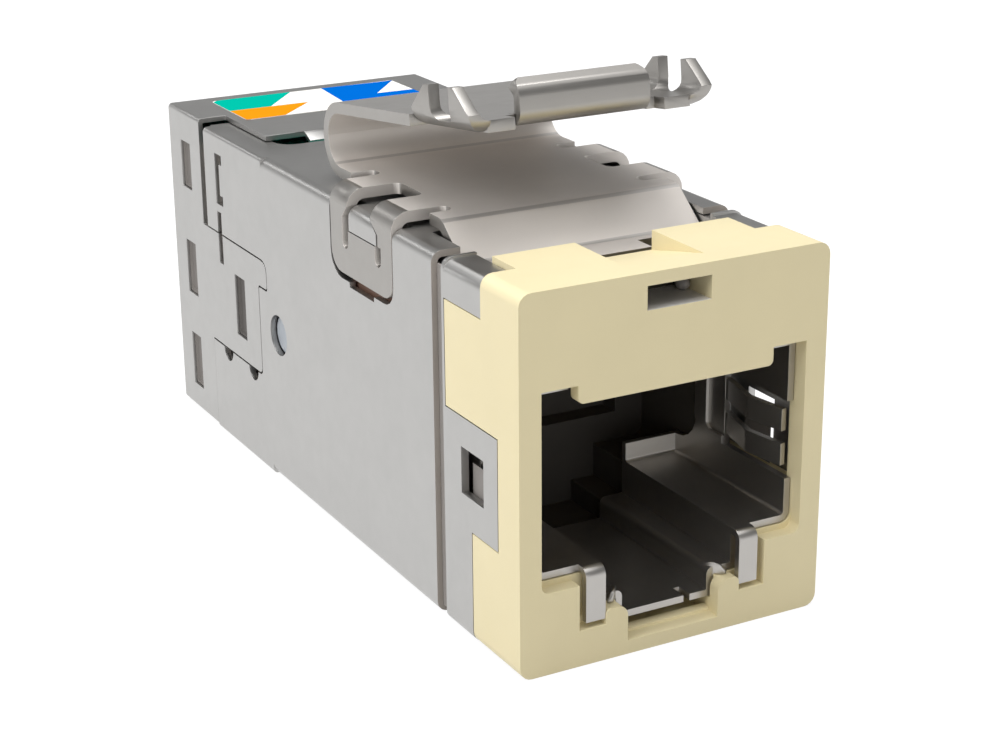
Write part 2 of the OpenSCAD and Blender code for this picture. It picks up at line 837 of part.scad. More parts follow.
// Pocket in the shell's side that the catch clip sits in
module clip_pocket() {
    outline = rounded([
        [clip_front - pocket_gap, body_h + cut], [clip_front - pocket_gap, clip_z - pocket_low_gap],
        [clip_back + pocket_gap, clip_z - pocket_low_gap], [clip_back + pocket_gap, body_h + cut]
    ], [0, pocket_front_r, pocket_back_r, 0]);
    along_x(half_w - clip_r - pocket_gap, half_w + cut) polygon(outline);
    block([half_w - sheet - cut, pocket_notch_front, pocket_notch_z],
        [half_w + cut, lug_back + pocket_gap, clip_z]);
}

// Lug left standing in the pocket, which holds the clip
module shell_lug() {
    along_x(half_w - clip_r - cut, half_w + cut) polygon([
        [lug_front, lug_z], [lug_front, window_side_z], [window_top_front + lug_gap, plate_z - catch_t],
        [window_top_front + lug_gap, body_h + 2 * cut], [lug_back, body_h + 2 * cut], [lug_back, lug_z]
    ]);
}

// Cut in the shell's side that the cap's tongue fills, smaller by g on the tongue itself
module tongue_cut(g) {
    outline = rounded([
        [body_len + cut, tongue_low_z + g], [tongue_step_front + g, tongue_low_z + g],
        [tongue_step_front + g, tongue_step_z + g], [tongue_front + g, tongue_step_z + g],
        [tongue_front + g, tongue_top_z - g], [body_len + cut, tongue_top_z - g]
    ], [0, tongue_toe_r, tongue_small_r, tongue_small_r, tongue_nose_r, 0]);
    along_x(half_w - sheet - cut, half_w + cut) polygon(outline);
}

module top_notch() {
    translate([0, 0, body_h - cut]) linear_extrude(2 * cut) polygon(rounded([
        [-shell_notch_w / 2, shell_back + cut], [-shell_notch_w / 2, shell_notch_front],
        [shell_notch_w / 2, shell_notch_front], [shell_notch_w / 2, shell_back + cut]
    ], shell_notch_r));
}

module shell_slots() {
    reach = sheet + cut;
    translate([half_w - reach, 0, 0]) {
        // Round hole over the block's peg
        translate([0, peg_y, peg_z]) rotate([0, 90, 0]) cylinder(r = side_hole_r, h = reach + cut);
        slot_shapes(reach);
    }
}

// Slots and reliefs near the seam
module slot_shapes(reach) {
    block([0, hook_back - hook_slot_len, hook_low_z], [reach + cut, hook_back, hook_top_z]);
    block([0, hook_back - hook_len, hook_top_z - hook_arm_h], [reach + cut, hook_back, hook_top_z]);
    block([0, hook_back - hook_len, hook_low_z], [reach + cut, hook_back, hook_low_z + hook_arm_h]);
    block([0, hook_back - hook_slot_len, slit_low_z], [reach + cut, hook_back, slit_top_z]);
    for (y = [hook_back - relief_w, tongue_step_front + 2 * relief_w]) translate([0, y, tongue_low_z])
        rotate([0, 90, 0]) cylinder(r = relief_w, h = reach + cut);
}

// Catch plate: lies on the shell, clips over both sides and drops to its foot at the face
module catch_plate() {
    ramp = rounded([
        [bend_y, plate_z], [crease_y, plate_z], [ramp_foot_y, foot_z], [foot_front, foot_z]
    ], crease_r);
    turn = [for (i = [-1:2 * turn_steps])
        [bend_y, bend_z] + bend_r * [cos(bend_step * i), -sin(bend_step * i)]];
    color("darkgray") difference() {
        union() {
            along_x(-arm_w / 2, arm_w / 2) bent(concat(turn, [for (i = [1:len(ramp) - 1]) ramp[i]]), catch_t);
            side_clips();
        }
        plate_slots();
        block([-half_w, bend_y, bend_z], [half_w, bend_y + 2 * bend_r, bend_z + cut]);
    }
}

module side_clips() {
    mid = half_w - catch_t / 2;
    path = rounded([[0, plate_z], [mid, plate_z], [mid, clip_z]], clip_r - catch_t / 2);
    difference() {
        both() along_y(clip_front, clip_back) bent(path, catch_t);
        // Round lower corners
        both() difference() {
            block([half_w - cut, clip_front - cut, clip_z - cut], [half_w + cut, clip_back + cut, clip_z + cut]);
            along_x(half_w - 2 * cut, half_w + 2 * cut) polygon(rounded([
                [clip_front, clip_z + 2 * cut], [clip_front, clip_z],
                [clip_back, clip_z], [clip_back, clip_z + 2 * cut]
            ], [0, clip_front_round, clip_back_round, 0]));
        }
    }
}

// Slots that free the clip's arms, and the window that takes the shell's lug
module plate_slots() {
    low = plate_z - catch_t;
    both() {
        // Behind the clip
        slot_from_side(clip_back, clip_back + slot_back_len);
        // In front of the clip
        slot_from_side(clip_slot_front, clip_front);
        // Between the clip's arms, wider on the side than on top
        slot_from_side(window_top_front, window_top_back);
        along_x(half_w - clip_r - catch_t, half_w + cut) polygon([
            [arm_front_back, lug_z - fit], [arm_front_back, window_side_z], [window_top_front, plate_z - catch_t],
            [window_top_front, body_h + cut], [window_top_back, body_h + cut], [window_top_back, plate_z - catch_t],
            [arm_back_front, window_side_z], [arm_back_front, lug_z - fit]
        ]);
        relief(arm_back_front - relief_w / 2);
        relief(arm_front_back);
        // Foot, narrower than the ramp
        block([foot_w / 2, foot_front - cut, 0], [half_w + cut, ramp_foot_y - catch_t, low + catch_t]);
    }
}

// Rounded relief that runs down from the window
module relief(y) {
    block([half_w - cut, y - relief_w / 2, relief_z + relief_w / 2], [half_w + cut, y + relief_w / 2, lug_z]);
    translate([half_w - cut, y, relief_z + relief_w / 2]) rotate([0, 90, 0]) cylinder(r = relief_w / 2, h = 2 * cut);
}

module slot_from_side(from, to) {
    translate([0, 0, plate_z - catch_t]) linear_extrude(2 * catch_t) polygon(rounded([
        [half_w + cut, from], [neck_w / 2, from], [neck_w / 2, to], [half_w + cut, to]
    ], slot_round));
}

// Catch arm: rises from the bend to the tines that grip the panel and the lip for a finger
module catch_arm() {
    color("gray") difference() {
        translate([0, bend_y, bend_z]) rotate([-arm_rise, 0, 0]) {
            arm_strip();
            finger_lip();
            both() arm_wing();
        }
        block([-half_w, bend_y, bend_z - cut], [half_w, bend_y + 2 * bend_r, bend_z]);
    }
}

module arm_strip() {
    step = (90 - arm_rise) / (2 * turn_steps);
    turn = [for (i = [-1:2 * turn_steps])
        bend_r * [cos(arm_rise + step * i), sin(arm_rise + step * i)]];
    difference() {
        along_x(-arm_w / 2, arm_w / 2) bent(concat(turn, [[-band_front, bend_r]]), catch_t);
        both() {
            // The wings take over at the front
            block([arm_w / 2 - wing_bend - catch_t / 2, -arm_len - cut, 0], [half_w, -notch_back, bend_r + catch_t]);
            // Reliefs beside the lip
            block([finger_lip_w / 2, -band_front - cut, 0],
                [finger_lip_w / 2 + lip_relief, -band_front + lip_relief_len, bend_r + catch_t]);
            block([0, -band_front - cut, 0],
                [finger_lip_w / 2 + fit, -arm_len + lip_bend + catch_t, bend_r + catch_t]);
        }
    }
}

module finger_lip() {
    mid = -arm_len + catch_t / 2;
    path = rounded([
        [mid + lip_bend + catch_t, bend_r], [mid, bend_r],
        [mid, bend_r + finger_lip_h], [mid + lip_lean_y, bend_r + finger_lip_h + lip_lean_z]
    ], lip_bend);
    top = bend_r + finger_lip_h + lip_lean_z + catch_t / 2;
    intersection() {
        along_x(-finger_lip_w / 2, finger_lip_w / 2) bent(path, catch_t);
        // Rounded upper corners
        along_y(-arm_len - cut, -arm_len + 2 * cut) polygon(rounded([
            [-finger_lip_w / 2, 0], [-finger_lip_w / 2, top], [finger_lip_w / 2, top], [finger_lip_w / 2, 0]
        ], lip_corner));
    }
}

// One side of the arm's front, bent up and notched into two tines
module arm_wing() {
    root = arm_w / 2 - wing_bend - catch_t / 2 - fit;
    mid = arm_w / 2 - catch_t / 2;
    top = bend_r + tine_h;
    floor_z = bend_r - catch_t / 2;
    intersection() {
        along_y(-tine_b_front, -wing_back)
            bent(rounded([[root, bend_r], [mid, bend_r], [mid, top]], wing_bend), catch_t);
        // Side outline of the tines
        along_x(0, half_w) difference() {
            polygon([
                [-wing_back, floor_z], [-wing_back, floor_z + tine_h / 2], [-tine_a_top, top], [-tine_b_top, top],
                each corner([-tine_b_front, top], [-tine_b_front, floor_z], [-wing_back, floor_z],
                    tine_h / 2, turn_steps)
            ]);
            polygon(rounded([
                [-tine_a_front, top + cut], [-tine_a_front, bend_r + catch_t / 4],
                [-tine_b_back, bend_r + catch_t / 4], [-tine_b_back, top + cut]
            ], tine_notch_r));
        }
    }
}

// Hood over the cable end, with a tongue on top and one on each side
module cap_shield() {
    color("silver") difference() {
        union() {
            along_y(cap_low_front, body_len)
                shell_section(body_w, cap_low_z, cap_top_z, cap_t, rear_edge_r);
            along_y(body_len - cap_t, body_len)
                polygon(rounded_ring(box_outline(body_w, cap_low_z, cap_top_z), rear_edge_r));
            block([-top_tongue_w / 2, top_tongue_front, cap_top_z - cap_t],
                [top_tongue_w / 2, cap_side_front + cut, cap_top_z]);
            both() top_tab();
            both() intersection() {
                tongue_cut(seam);
                block([half_w - cap_t, tongue_front, 0], [half_w, cap_side_front, body_h]);
            }
        }
        // Edge beside the top tongue, behind the shell's sides
        both() block([top_tongue_w / 2, cap_low_front - cut, tongue_top_z - seam],
            [half_w + cut, cap_side_front, cap_top_z + cut]);
        translate([0, body_len + cut, axis_z]) rotate([90, 0, 0]) cylinder(r = back_hole_r, h = 2 * cut + cap_t);
        both() for (i = [0:2]) block([half_w - cut, louvre_back_y - louvre_w / 2, louvre_low[i]],
            [half_w + cut, louvre_back_y + louvre_w / 2, louvre_low[i] + louvre_h[i]]);
        both() block([half_w - cut, louvre_tongue_y - louvre_w / 2, louvre_tongue_z],
            [half_w + cut, louvre_tongue_y + louvre_w / 2, louvre_tongue_z + louvre_tongue_h]);
        both() block([half_w - cut, hook_back - hook_slot_len, slit_low_z], [half_w + cut, hook_back, slit_top_z]);
    }
}

// Small tab that dips from the top tongue into the opening in front of it
module top_tab() {
    top = cap_top_z - tab_drop_t / 2;
    path = rounded([
        [top_tongue_front + tab_drop_len, top], [top_tongue_front, top],
        [top_tongue_front - tab_drop_len, top - tab_drop_z]
    ], tab_drop_len);
    along_x(tab_drop_x, tab_drop_x + tab_drop_w) bent(path, tab_drop_t);
}

// Plates inside the cap, seen through the slots in its walls
module cap_liner() {
    low = axis_z - manager_h / 2 + liner_plate_grow;
    color("gray") both() block([manager_w / 2, liner_plate_front, low],
        [manager_w / 2 + liner_plate_t, manager_back, low + manager_h - 2 * liner_plate_grow]);
}

// Moulded guide that spreads the pairs from the cable to the blades
module wire_manager() {
    low = axis_z - manager_h / 2;
    color("teal") difference() {
        union() {
            block([-manager_w / 2, manager_front, low], [manager_w / 2, manager_back, low + manager_h]);
            // Cover over the towers, seen through the opening on top
            block([-cover_w / 2, cover_front, cover_z], [cover_w / 2, manager_front + cut, cover_z + cover_t]);
        }
        translate([0, manager_back + cut, axis_z]) rotate([90, 0, 0])
            cylinder(r = chamber_r, h = manager_back - chamber_front + cut);
        translate([0, manager_back + cut, axis_z]) rotate([90, 0, 0])
            cylinder(r = collar_r + fit, h = collar_len + cut);
        for (sx = [-1, 1], sz = [-1, 1]) translate([sx * channel_x, 0, axis_z + sz * channel_z])
            block([-channel_w / 2, manager_front - cut, -channel_h / 2],
                [channel_w / 2, chamber_front + cut, channel_h / 2]);
    }
}

// Collar that the cable passes through
module cable_collar() {
    color("dimgray") translate([0, body_len, axis_z]) rotate([90, 0, 0]) difference() {
        cylinder(r = collar_r, h = collar_len);
        translate([0, 0, -cut]) cylinder(r = cable_r, h = collar_len + 2 * cut);
    }
}

// Film label on top of the cap
module wiring_label() {
    color("white") block([-label_w / 2, label_front, cap_top_z], [label_w / 2, label_back, cap_top_z + label_t]);
}

bezel();
front_shield();
port_liner();
port_housing();
contact_carrier();
contact_leads();
contact(1);  // contact_1
contact(2);  // contact_2
contact(3);  // contact_3
contact(4);  // contact_4
contact(5);  // contact_5
contact(6);  // contact_6
contact(7);  // contact_7
contact(8);  // contact_8
circuit_board();
idc_block();
pair_divider();
idc_blade(1);  // idc_blade_1
idc_blade(2);  // idc_blade_2
idc_blade(3);  // idc_blade_3
idc_blade(4);  // idc_blade_4
idc_blade(5);  // idc_blade_5
idc_blade(6);  // idc_blade_6
idc_blade(7);  // idc_blade_7
idc_blade(8);  // idc_blade_8
main_shell();
catch_plate();
catch_arm();
cap_shield();
cap_liner();
wire_manager();
cable_collar();
wiring_label();
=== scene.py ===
import json
import math

import bmesh
import bpy
from mathutils import Matrix, Vector


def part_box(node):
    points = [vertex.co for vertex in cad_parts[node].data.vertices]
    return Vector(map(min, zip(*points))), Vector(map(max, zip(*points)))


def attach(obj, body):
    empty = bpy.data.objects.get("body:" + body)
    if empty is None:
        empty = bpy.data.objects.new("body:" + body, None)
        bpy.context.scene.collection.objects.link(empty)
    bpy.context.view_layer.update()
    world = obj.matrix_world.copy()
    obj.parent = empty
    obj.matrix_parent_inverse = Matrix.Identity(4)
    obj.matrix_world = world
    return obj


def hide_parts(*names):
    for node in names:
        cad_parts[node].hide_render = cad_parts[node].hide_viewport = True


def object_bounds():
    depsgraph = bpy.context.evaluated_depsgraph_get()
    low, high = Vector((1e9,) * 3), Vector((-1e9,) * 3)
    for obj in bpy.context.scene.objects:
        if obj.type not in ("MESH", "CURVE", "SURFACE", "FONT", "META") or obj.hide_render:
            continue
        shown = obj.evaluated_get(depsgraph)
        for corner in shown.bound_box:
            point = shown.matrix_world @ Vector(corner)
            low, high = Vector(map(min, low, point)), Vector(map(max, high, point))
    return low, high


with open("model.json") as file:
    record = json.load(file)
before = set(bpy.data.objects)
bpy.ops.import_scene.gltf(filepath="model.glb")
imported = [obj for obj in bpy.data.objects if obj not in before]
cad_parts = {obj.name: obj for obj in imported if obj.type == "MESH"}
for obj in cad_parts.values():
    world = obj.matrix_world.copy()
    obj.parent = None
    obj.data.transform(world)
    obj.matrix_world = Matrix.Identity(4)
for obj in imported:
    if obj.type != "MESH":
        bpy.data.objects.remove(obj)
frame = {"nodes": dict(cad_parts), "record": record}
cad_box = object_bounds()
MM = 0.001
nodes = frame["nodes"]
record = frame["record"]
home = {n: b for b, ns in record["behaviour"]["bodies"].items() for n in ns}
scene = bpy.context.scene
scene.view_settings.view_transform = "Standard"


# Camera, at the photograph's viewing angle

def make_camera():
    az, el, roll = math.radians(-28.43), math.radians(19.655), math.radians(-0.515)
    back = Vector((math.sin(az) * math.cos(el), -math.cos(az) * math.cos(el), math.sin(el)))
    right = (-back).cross(Vector((0, 0, 1))).normalized()
    up = right.cross(-back)
    r = right * math.cos(roll) + up * math.sin(roll)
    u = up * math.cos(roll) - right * math.sin(roll)
    data = bpy.data.cameras.new("camera")
    data.sensor_fit = "HORIZONTAL"
    data.sensor_width = 36
    data.lens = 2119.8 / 1000 * 36
    data.clip_start, data.clip_end = 0.001, 10
    cam = bpy.data.objects.new("camera", data)
    scene.collection.objects.link(cam)
    place = Matrix((r, u, back)).transposed().to_4x4()
    place.translation = Vector((-43.868, -66.169, 40.378)) * MM
    cam.matrix_world = place
    scene.camera = cam


make_camera()


# Materials

def linear(rgb):
    return [c / 12.92 if c <= 0.04045 else ((c + 0.055) / 1.055) ** 2.4 for c in (v / 255 for v in rgb)] + [1]


class Mat:
    def __init__(self, name):
        self.mat = bpy.data.materials.new(name)
        self.mat.use_nodes = True
        self.tree = self.mat.node_tree
        self.shader = self.tree.nodes["Principled BSDF"]
        self.coord = None

    def node(self, kind, **values):
        n = self.tree.nodes.new(kind)
        for key, value in values.items():
            if key in n.inputs:
                n.inputs[key].default_value = value
            else:
                setattr(n, key.lower(), value)
        return n

    def link(self, a, b):
        self.tree.links.new(a, b)

    def where(self, stretch=(1, 1, 1)):
        """Object coordinates in millimetres, stretched along the axes."""
        if self.coord is None:
            self.coord = self.tree.nodes.new("ShaderNodeTexCoord")
        m = self.tree.nodes.new("ShaderNodeMapping")
        m.inputs["Scale"].default_value = [1000 * s for s in stretch]
        self.link(self.coord.outputs["Object"], m.inputs["Vector"])
        return m.outputs["Vector"]

    def noise(self, size_mm, detail=3, stretch=(1, 1, 1)):
        n = self.node("ShaderNodeTexNoise", Scale=1 / size_mm, Detail=detail)
        self.link(self.where(stretch), n.inputs["Vector"])
        return n.outputs["Fac"]

    def spread(self, fac, low, high, from_low=0.3, from_high=0.7):
        n = self.tree.nodes.new("ShaderNodeMapRange")
        n.inputs["From Min"].default_value = from_low
        n.inputs["From Max"].default_value = from_high
        n.inputs["To Min"].default_value = low
        n.inputs["To Max"].default_value = high
        self.link(fac, n.inputs["Value"])
        return n.outputs["Result"]

    def mix(self, fac, a, b):
        n = self.tree.nodes.new("ShaderNodeMix")
        n.data_type = "RGBA"
        self.link(fac, n.inputs[0])
        for socket, value in ((n.inputs[6], a), (n.inputs[7], b)):
            if isinstance(value, (list, tuple)):
                socket.default_value = value
            else:
                self.link(value, socket)
        return n.outputs[2]

    def bump(self, height, depth_mm):
        n = self.tree.nodes.new("ShaderNodeBump")
        n.inputs["Distance"].default_value = depth_mm * MM
        n.inputs["Strength"].default_value = 1.0
        self.link(height, n.inputs["Height"])
        self.link(n.outputs["Normal"], self.shader.inputs["Normal"])

    def set(self, **values):
        for key, value in values.items():
            self.shader.inputs[key.replace("_", " ")].default_value = value
        return self


def metal(name, rgb, rough, spread=0.025, grain=(1, 1, 1), grain_mm=0.12, metallic=1.0):
    """Sheet metal with faint cloudy patches and a fine grain."""
    m = Mat(name).set(Metallic=metallic)
    base = linear(rgb)
    low = [c * 0.965 for c in base[:3]] + [1]
    m.link(m.mix(m.spread(m.noise(2.6, 4), 0, 1), low, base), m.shader.inputs["Base Color"])
    m.link(m.spread(m.noise(0.7, 5), rough - spread, rough + spread), m.shader.inputs["Roughness"])
    m.bump(m.noise(grain_mm, 4, grain), 0.0012)
    return m.mat


def plastic(name, rgb, rough, grain_mm=0.09, depth=0.003, shade=0.94, coat=0.0, gloss=0.5):
    """Moulded plastic or print; shade is how dark its faint patches get."""
    m = Mat(name)
    base = linear(rgb)
    low = [c * shade for c in base[:3]] + [1]
    m.link(m.mix(m.spread(m.noise(3.5, 3), 0, 1), low, base), m.shader.inputs["Base Color"])
    m.link(m.spread(m.noise(0.8, 3), rough - 0.04, rough + 0.04), m.shader.inputs["Roughness"])
    m.bump(m.noise(grain_mm, 3), depth)
    m.set(Specular_IOR_Level=gloss, Coat_Weight=coat, Coat_Roughness=0.2)
    return m.mat


almond = plastic("almond_plastic", (232, 219, 178), 0.42, shade=0.97, gloss=0.35)
black = plastic("black_plastic", (72, 69, 65), 0.55, shade=0.85, gloss=0.3)
pale = plastic("pale_plastic", (170, 176, 183), 0.4)
teal = plastic("teal_plastic", (30, 150, 132), 0.25, depth=0.001, shade=0.75, coat=0.3)
recess = plastic("recess_shadow", (58, 53, 43), 0.6, shade=0.9, gloss=0.2)
# Brown for the plate behind the clip notches: painted shade of the shaded inside
pocket_painted_shade = plastic("pocket_painted_shade_plate", (128, 100, 86), 0.5, shade=0.85, gloss=0.3)
board = plastic("board_varnish", (28, 110, 70), 0.25, shade=0.7, coat=0.5)
rubber = plastic("collar_rubber", (34, 34, 35), 0.6, grain_mm=0.15, depth=0.006, shade=0.75)
shell = metal("shell_metal", (181, 180, 178), 0.38)
shell_cap = metal("cap_metal", (182, 181, 179), 0.4)
liner = metal("liner_metal", (182, 179, 175), 0.36, metallic=0.97)
# Pale rough copy of the metal: painted light on the rear stop panel and on the small window's floor
painted_light_panel = metal("stop_painted_light_panel_metal", (240, 236, 230), 0.6, metallic=0.2)
# Pale diffuse grey on the cap's liner: painted light in its shaded slots
liner_painted_light = plastic("liner_painted_light_plate", (214, 206, 199), 0.5, shade=0.95, gloss=0.3)
# Flat grey standing in for metal in recesses: painted light
painted_light_grey = plastic("painted_light_grey_plate", (146, 141, 137), 0.5, shade=0.9, gloss=0.4)
# Greys for the louvre plates: painted shade of the slots' shaded insides, darker on the tongue
louvre_painted_shade = plastic("louvre_painted_shade_plate", (124, 119, 115), 0.5, shade=0.9, gloss=0.3)
tongue_painted_shade = plastic("tongue_painted_shade_plate", (92, 88, 85), 0.5, shade=0.9, gloss=0.3)
# Duller brownish grey for the shell's front end faces: painted shade of the groove
end_painted_shade = plastic("end_face_painted_shade", (177, 169, 161), 0.55, shade=0.9, gloss=0.3)
rolled = {"grain": (1, 0.12, 1), "grain_mm": 0.1}
spring = metal("spring_steel", (166, 163, 159), 0.4, **rolled)
# Lighter, less metallic copies of the spring steel: painted light where the arm shades the plate and its own
# underside
spring_painted_light = metal("spring_steel_painted_light", (203, 199, 195), 0.45, metallic=0.68, **rolled)
spring_more_painted_light = metal("spring_steel_more_painted_light", (226, 220, 214), 0.5, metallic=0.52, **rolled)
gold = metal("contact_gold", (240, 200, 120), 0.22, spread=0.04)
tin = metal("blade_tin", (205, 205, 205), 0.28)
paper_white = plastic("label_white", (244, 243, 238), 0.5, depth=0.0008, shade=0.98, gloss=0.1)
ink = {"rough": 0.5, "depth": 0.0008, "shade": 0.97, "gloss": 0.0}
ink_teal = plastic("label_teal", (2, 174, 152), **ink)
ink_orange = plastic("label_orange", (232, 145, 22), **ink)
ink_blue = plastic("label_blue", (2, 101, 198), **ink)


# Pieces that keep their CAD shape, with small real radii on the edges

def dress(name, mat, radius=0.05, steps=2, others=()):
    """Copy a CAD mesh and bevel its edges.

    others holds pairs of a material and a test of a face's middle in millimetres and its normal.
    """
    mesh = nodes[name].data.copy()
    piece = bpy.data.objects.new("v_" + name, mesh)
    scene.collection.objects.link(piece)
    bm = bmesh.new()
    bm.from_mesh(mesh)
    bmesh.ops.remove_doubles(bm, verts=bm.verts, dist=1e-6)
    bmesh.ops.dissolve_limit(bm, angle_limit=math.radians(0.6), verts=bm.verts, edges=bm.edges)
    bm.to_mesh(mesh)
    bm.free()
    mesh.materials.clear()
    mesh.materials.append(mat)
    for p in mesh.polygons:
        p.material_index = 0
        p.use_smooth = True
    for k, (other, test) in enumerate(others):
        mesh.materials.append(other)
        for p in mesh.polygons:
            if test(p.center / MM, p.normal):
                p.material_index = k + 1
    edge = piece.modifiers.new("edge", "BEVEL")
    edge.width = radius * MM
    edge.segments = steps
    edge.limit_method = "ANGLE"
    edge.angle_limit = math.radians(32)
    edge.use_clamp_overlap = True
    edge.face_strength_mode = "FSTR_ALL"
    flat = piece.modifiers.new("flat", "WEIGHTED_NORMAL")
    flat.mode = "FACE_AREA"
    flat.weight = 90
    flat.use_face_influence = True
    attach(piece, home[name])
    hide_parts(name)
    return piece


def in_window(c):
    """Whether a face lies inside the small window above the port."""
    return abs(c.x) < 1.6 and 14.6 < c.z < 15.8 and 0.05 < c.y < 2.5


def paint(name, mat):
    """Give a CAD node its material and leave its shape alone."""
    data = nodes[name].data
    data.materials.clear()
    data.materials.append(mat)
    for p in data.polygons:
        p.material_index = 0


# Inside the small window the back wall and ceiling take painted shadow and the floor takes painted light
dress("bezel", almond, 0.16, 3, others=[
    (recess, lambda c, n: in_window(c) and (n.y < -0.9 or n.z < -0.9)),
    (painted_light_panel, lambda c, n: in_window(c) and n.z > 0.9)])
dress("front_shield", shell, 0.05)
# The shell's front end faces take painted shade from a duller brownish grey
dress("main_shell", shell, 0.09, 3, others=[(end_painted_shade, lambda c, n: n.y < -0.9 and c.y < 7.5)])
dress("cap_shield", shell_cap, 0.09, 3)
# The rear stop panel's face takes a pale copy of the metal: painted light falling through the wall's openings
dress("port_liner", liner, 0.04, others=[(painted_light_panel, lambda c, n: n.y < -0.9 and c.y > 8.5)])
# The cap's liner is a pale diffuse grey: painted light in its shaded slots
dress("cap_liner", liner_painted_light, 0.03)
# The plate's top and front faces take painted light from the lighter spring steel copies
dress("catch_plate", spring, 0.07, others=[
    (spring_painted_light, lambda c, n: n.z > 0.5 and abs(c.x) < 6),
    (spring_more_painted_light, lambda c, n: n.z > 0.96 and abs(c.x) < 6 or n.y < -0.5 and c.y > 8)])
# The arm's underside and the front of its bend take painted light from the lightest copy
dress("catch_arm", spring, 0.05, others=[
    (spring_more_painted_light, lambda c, n: n.z < -0.3 and c.y > 11 or n.y < -0.05 and c.y > 17)])
for n in ("port_housing", "contact_carrier"):
    dress(n, black, 0.06)
dress("wire_manager", teal, 0.08)
dress("idc_block", pale, 0.08)
dress("pair_divider", liner, 0.04)
dress("cable_collar", rubber, 0.12, 3)
paint("circuit_board", board)
paint("contact_leads", gold)
for i in range(1, 9):
    paint("contact_%d" % i, gold)
    paint("idc_blade_%d" % i, tin)


# Wiring label: a white film with printed fields of colour

def label():
    lo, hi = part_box("wiring_label")
    fields = [
        (ink_teal, [(-5.2, 33.95), (-3.0, 33.9), (-0.75, 36.6), (-4.9, 36.6), (-5.2, 36.3)]),
        (ink_orange, [(-5.2, 31.8), (-5.1, 31.71), (-3.1, 31.71), (-0.91, 33.87), (-5.2, 33.95)]),
        (ink_blue, [(0.6, 31.71), (5.1, 31.71), (5.2, 31.8), (5.2, 33.9),
                    (3.1, 33.98), (5.2, 36.5), (1.05, 36.6)]),
    ]
    bm = bmesh.new()
    # The film ends a little before the back of its box, and lies close on the cap
    x0, x1, y0, y1 = lo.x, hi.x, lo.y, hi.y - 0.4 * MM
    top = lo.z + 0.03 * MM
    r = 0.25 * MM
    left, right, front, rear = x0 + r, x1 - r, y0 + r, y1 - r
    ring = []
    for cx, cy, a0 in ((right, front, -90), (right, rear, 0), (left, rear, 90), (left, front, 180)):
        for k in range(6):
            a = math.radians(a0 + 18 * k)
            ring.append((cx + r * math.cos(a), cy + r * math.sin(a)))
    low = [bm.verts.new((x, y, lo.z)) for x, y in ring]
    high = [bm.verts.new((x, y, top - 0.008 * MM)) for x, y in ring]
    bm.faces.new(high)
    bm.faces.new(list(reversed(low)))
    for i in range(len(ring)):
        j = (i + 1) % len(ring)
        bm.faces.new((low[i], low[j], high[j], high[i]))
    for k, (_, pts) in enumerate(fields):
        a = [bm.verts.new((x * MM, y * MM, top - 0.01 * MM)) for x, y in pts]
        b = [bm.verts.new((x * MM, y * MM, top)) for x, y in pts]
        made = [bm.faces.new(b), bm.faces.new(list(reversed(a)))]
        for i in range(len(pts)):
            j = (i + 1) % len(pts)
            made.append(bm.faces.new((a[i], a[j], b[j], b[i])))
        for f in made:
            f.material_index = k + 1
    bmesh.ops.recalc_face_normals(bm, faces=bm.faces)
    mesh = bpy.data.meshes.new("v_wiring_label")
    bm.to_mesh(mesh)
    bm.free()
    for m in [paper_white] + [m for m, _ in fields]:
        mesh.materials.append(m)
    piece = bpy.data.objects.new("v_wiring_label", mesh)
    scene.collection.objects.link(piece)
    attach(piece, home["wiring_label"])
    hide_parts("wiring_label")


label()


# Small stamped details that the CAD model leaves to the finish; several are plates whose flat greys paint
# light or shade into recesses

def add(name, bm, mat, body, radius=0.0):
    """Turn a drawn mesh into a piece that rides on a body, with its sharp edges bevelled."""
    bmesh.ops.recalc_face_normals(bm, faces=bm.faces)
    mesh = bpy.data.meshes.new(name)
    bm.to_mesh(mesh)
    bm.free()
    mesh.materials.append(mat)
    for p in mesh.polygons:
        p.use_smooth = True
    piece = bpy.data.objects.new(name, mesh)
    scene.collection.objects.link(piece)
    if radius:
        edge = piece.modifiers.new("edge", "BEVEL")
        edge.width = radius * MM
        edge.segments = 2
        edge.limit_method = "ANGLE"
    flat = piece.modifiers.new("flat", "WEIGHTED_NORMAL")
    flat.weight = 90
    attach(piece, body)
    return piece


def rings(bm, loops):
    """Skin a closed surface over loops of equal length, in millimetres."""
    made = [[bm.verts.new(Vector(p) * MM) for p in loop] for loop in loops]
    count = len(made[0])
    for a, b in zip(made, made[1:]):
        for i in range(count):
            j = (i + 1) % count
            bm.faces.new((a[i], a[j], b[j], b[i]))
    bm.faces.new(made[0])
    bm.faces.new(list(reversed(made[-1])))


def upright(x, y0, y1, z0, z1):
    """Corners of an upright rectangle across X."""
    return [(x, y0, z0), (x, y1, z0), (x, y1, z1), (x, y0, z1)]


def louvre_pans():
    """Dished plates that close the slots in the cap's walls; their greys are painted shade of the shaded
    slots, darker on the tongue.
    """
    lo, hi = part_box("cap_shield")
    half, back = hi.x / MM, hi.y / MM
    rim, floor, under, wide, lip, gap = 0.12, 0.24, 0.32, 1.28, 0.12, 0.02
    centre = back - 2.2
    tongue = back - 20.1 * (1 - 0.5572)
    wall = [(centre, 1.45, 2.9), (centre, 6.6, 2.87), (centre, 12.35, 2.45)]
    for name, mat, slots in (("louvre_pans", louvre_painted_shade, wall), ("tongue_pans", tongue_painted_shade, [(tongue, 6.15, 3.15)])):
        bm = bmesh.new()
        for side in (-1, 1):
            for y, z, h in slots:
                loops = []
                for deep, grow in ((floor, lip), (rim, 0), (under, 0)):
                    y0, y1 = y - wide / 2 + grow, y + wide / 2 - grow
                    z0, z1 = z + gap + grow, z + h - gap - grow
                    loops.append(upright(side * (half - deep), y0, y1, z0, z1))
                rings(bm, loops)
        add(name, bm, mat, home["cap_liner"], 0.03)


